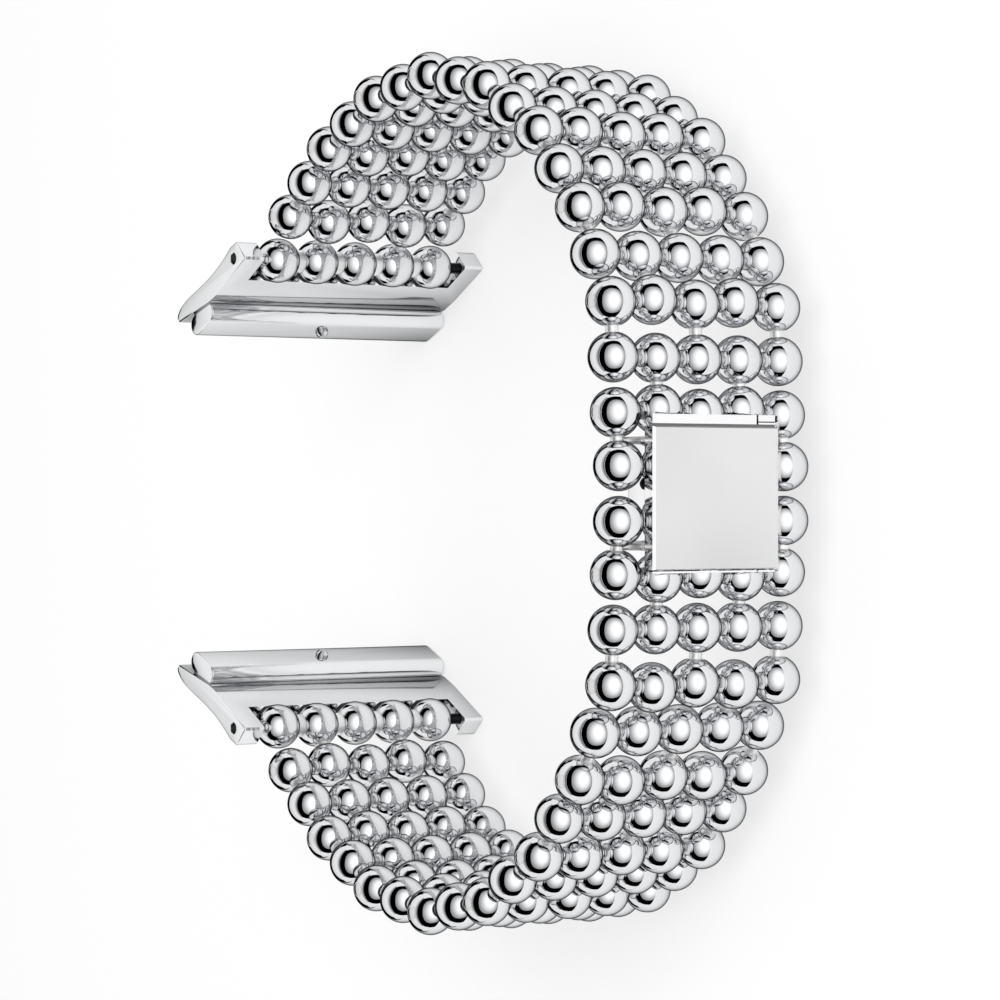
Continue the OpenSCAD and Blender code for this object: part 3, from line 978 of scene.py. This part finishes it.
def paper_material():
    """Paper: matt, with a fine tooth that only breaks up its sheen. The camera and polished steel
    see it part plain white, which keeps the shadow on it soft."""
    material, tree, out = new_material("paper, matt white sweep")
    grain = add_node(tree, "TexNoise", {"Scale": 1 / PAPER_TOOTH, "Detail": 4.0})
    tooth = add_node(tree, "Bump", {"Strength": 0.05, "Distance": TOOTH_DEPTH},
                     {"Height": grain.outputs["Fac"]})
    sheet = add_node(tree, "BsdfPrincipled",
                     {"Base Color": linear(settings().finish.paper), "Roughness": 0.9,
                      "Specular IOR Level": 0.1}, {"Normal": tooth.outputs["Normal"]})
    path = add_node(tree, "LightPath")
    seen = path.outputs["Is Camera Ray"]
    for ray in ("Is Glossy Ray", "Is Transmission Ray"):
        either = add_node(tree, "Math", links={0: seen, 1: path.outputs[ray]},
                          operation="MAXIMUM")
        seen = either.outputs["Value"]
    share = add_node(tree, "Math", {1: settings().studio.paper_white}, {0: seen},
                     operation="MULTIPLY")
    white = add_node(tree, "Emission", {"Color": (1, 1, 1, 1), "Strength": 1.0})
    both = add_node(tree, "MixShader", links={
        0: share.outputs["Value"], 1: sheet.outputs["BSDF"], 2: white.outputs["Emission"]})
    tree.links.new(both.outputs["Shader"], out.inputs["Surface"])
    return material


def reflected_only(piece):
    """Marks a studio panel that polished surfaces mirror and the camera doesn't see."""
    for ray in ("camera", "diffuse", "transmission", "shadow", "volume_scatter"):
        setattr(piece, f"visible_{ray}", False)


def loop_axis():
    """The wrist loop's axis at half its height."""
    return Vector((HINGES["upper_link_1"].x - settings().studio.loop_axis, 0, MID_Z))


def flat(corners):
    """One flat face."""
    bm = bmesh.new()
    bm.faces.new([bm.verts.new(corner) for corner in corners])
    return bm


def view_frame(tilt=0.0):
    """Directions from the loop's axis: to the camera, up its picture and to the picture's left,
    raised by a tilt in degrees."""
    rise = settings().studio.camera_rise + math.radians(tilt)
    toward = Vector((math.cos(rise), 0, math.sin(rise)))
    return toward, Vector((0, 1, 0)), Vector((-math.sin(rise), 0, math.cos(rise)))


def panel(name, material, away, low, high, tilt=0.0, corner=0.0):
    """A flat panel that faces the loop's axis from away metres, above the camera's line by a tilt
    in degrees. Low and high are its corners in metres, up the picture and to its left. A corner
    above 0 rounds it."""
    facing, side, up = view_frame(tilt)
    points = [(-1, -1), (1, -1), (1, 1), (-1, 1)]
    if corner:
        turns = [2 * math.pi * k / 96 for k in range(96)]
        points = [[math.copysign(abs(v) ** corner, v) for v in (math.cos(a), math.sin(a))]
                  for a in turns]
    piece = finished_object(name, flat([(x, y, 0) for x, y in points]), material)
    centre = (loop_axis() + facing * away
              + side * (low[0] + high[0]) / 2 + up * (low[1] + high[1]) / 2)
    size = Matrix.Diagonal(((high[0] - low[0]) / 2, (high[1] - low[1]) / 2, 1, 1))
    piece.matrix_world = axes_at(centre, side, up, side.cross(up)) @ size
    reflected_only(piece)


def set_camera():
    """The camera, with the band's length running up its picture."""
    studio, axis = settings().studio, loop_axis()
    camera = linked("camera", bpy.data.cameras.new("camera"))
    camera.data.lens = studio.camera_lens
    camera.data.clip_start = 0.01
    toward, side, _ = view_frame()
    camera.location = axis + toward * studio.camera_distance
    look = (axis - side * studio.camera_aim - camera.location).normalized()
    right = look.cross(side).normalized()
    camera.matrix_world = axes_at(camera.location, right, right.cross(look), -look)
    bpy.context.scene.camera = camera


def lay_floor():
    """The floor in two sheets: polished surfaces mirror the one close to the bracelet and, beyond
    it, the softbox."""
    edge, far = loop_axis().x + settings().studio.near_floor, 3.0
    paper = paper_material()
    for name, start, end in (("floor", -far, edge), ("floor_front", edge, far)):
        corners = ((start, -far), (end, -far), (end, far), (start, far))
        floor = finished_object(name, flat([(x, y, CAD_BOX[0][2]) for x, y in corners]), paper)
        floor.visible_glossy = start < 0


def light_room():
    """The room: white for the camera and in every reflection, and gentler on matt surfaces."""
    studio = settings().studio
    world = bpy.data.worlds.new("white room")
    bpy.context.scene.world = world
    world.use_nodes = True
    tree = world.node_tree
    tree.nodes.clear()
    out = tree.nodes.new("ShaderNodeOutputWorld")
    path = add_node(tree, "LightPath")
    level = add_node(tree, "MapRange",
                     {"To Min": studio.surround, "To Max": studio.surround * studio.fill},
                     {"Value": path.outputs["Is Diffuse Ray"]})
    room = add_node(tree, "Background", {"Color": (1, 1, 1, 1)},
                    {"Strength": level.outputs["Result"]})
    tree.links.new(room.outputs["Background"], out.inputs["Surface"])


def hang_panels():
    """What polished beads mirror: a softbox on a black board gives them their round white light
    with a dark crescent, and black cloth behind the loop darkens their far rims."""
    far = settings().studio.board_distance
    velvet = glow("cloth, black velvet")
    panel("softbox", glow("cloth, white softbox diffuser", diffuser), far,
          (-0.82, -0.85), (0.95, 0.47), corner=2 / 3)
    panel("board", velvet, far + 0.005, (-2.9, -0.85), (2.4, 1.35))
    panel("graduated_card", glow("card, black to white", graduated), far - 0.1,
          (-0.9, -0.09), (0.9, 0.09), tilt=75)
    # The cloth lies on the floor behind the loop and hangs up behind that, in metres.
    near, back, wide, height = -0.13, -0.7, 1.2, 0.26
    bm = bmesh.new()
    rows = [[bm.verts.new((x, y, z)) for y in (-wide, wide)]
            for x, z in ((near, MM / 2), (back, MM / 2), (back, height))]
    for a, b in zip(rows, rows[1:]):
        bm.faces.new((a[0], a[1], b[1], b[0]))
    reflected_only(finished_object("velvet_behind", bm, velvet))


def hang_key():
    """The lamp that draws the soft shadow."""
    studio = settings().studio
    key = linked("key softbox", bpy.data.lights.new("key softbox", "AREA"))
    key.data.size = 0.5
    key.data.energy = studio.key_strength
    rise, aside = math.radians(55), 0.15
    direction = Vector((math.cos(rise), aside, math.sin(rise))).normalized()
    key.location = loop_axis() + direction * studio.board_distance
    key.rotation_euler = direction.to_track_quat("Z", "Y").to_euler()
    key.visible_glossy = False


class BRACELET_OT_stage(Operator):
    """Build the camera, the floor and the light"""

    bl_idname = "bracelet.stage"
    bl_label = "Stage"

    def execute(self, context):
        set_camera()
        lay_floor()
        light_room()
        hang_panels()
        hang_key()
        return {"FINISHED"}


class BRACELET_PT_panel(Panel):
    """Panel that lists the bracelet's pieces"""

    bl_idname = "BRACELET_PT_panel"
    bl_label = "Bracelet"
    bl_space_type = "VIEW_3D"
    bl_region_type = "UI"
    bl_category = "Bracelet"

    def draw(self, context):
        for name in STEPS:
            self.layout.operator(f"bracelet.{name}")


STEPS = ("stage", "links", "pins", "clasp", "tongue", "cover", "adapters")
CLASSES = (BeadSettings, AdapterSettings, ClaspSettings, FinishSettings, StudioSettings,
           BraceletSettings, BRACELET_OT_links, BRACELET_OT_pins, BRACELET_OT_clasp,
           BRACELET_OT_tongue, BRACELET_OT_cover, BRACELET_OT_adapters, BRACELET_OT_stage,
           BRACELET_PT_panel)


def register():
    for item in CLASSES:
        bpy.utils.register_class(item)
    bpy.types.Scene.bracelet = PointerProperty(type=BraceletSettings)


def unregister():
    del bpy.types.Scene.bracelet
    for item in reversed(CLASSES):
        bpy.utils.unregister_class(item)


def main():
    register()
    for name in STEPS:
        getattr(bpy.ops.bracelet, name)()
    bpy.context.scene.view_settings.view_transform = "Standard"


if __name__ == "__main__":
    main()
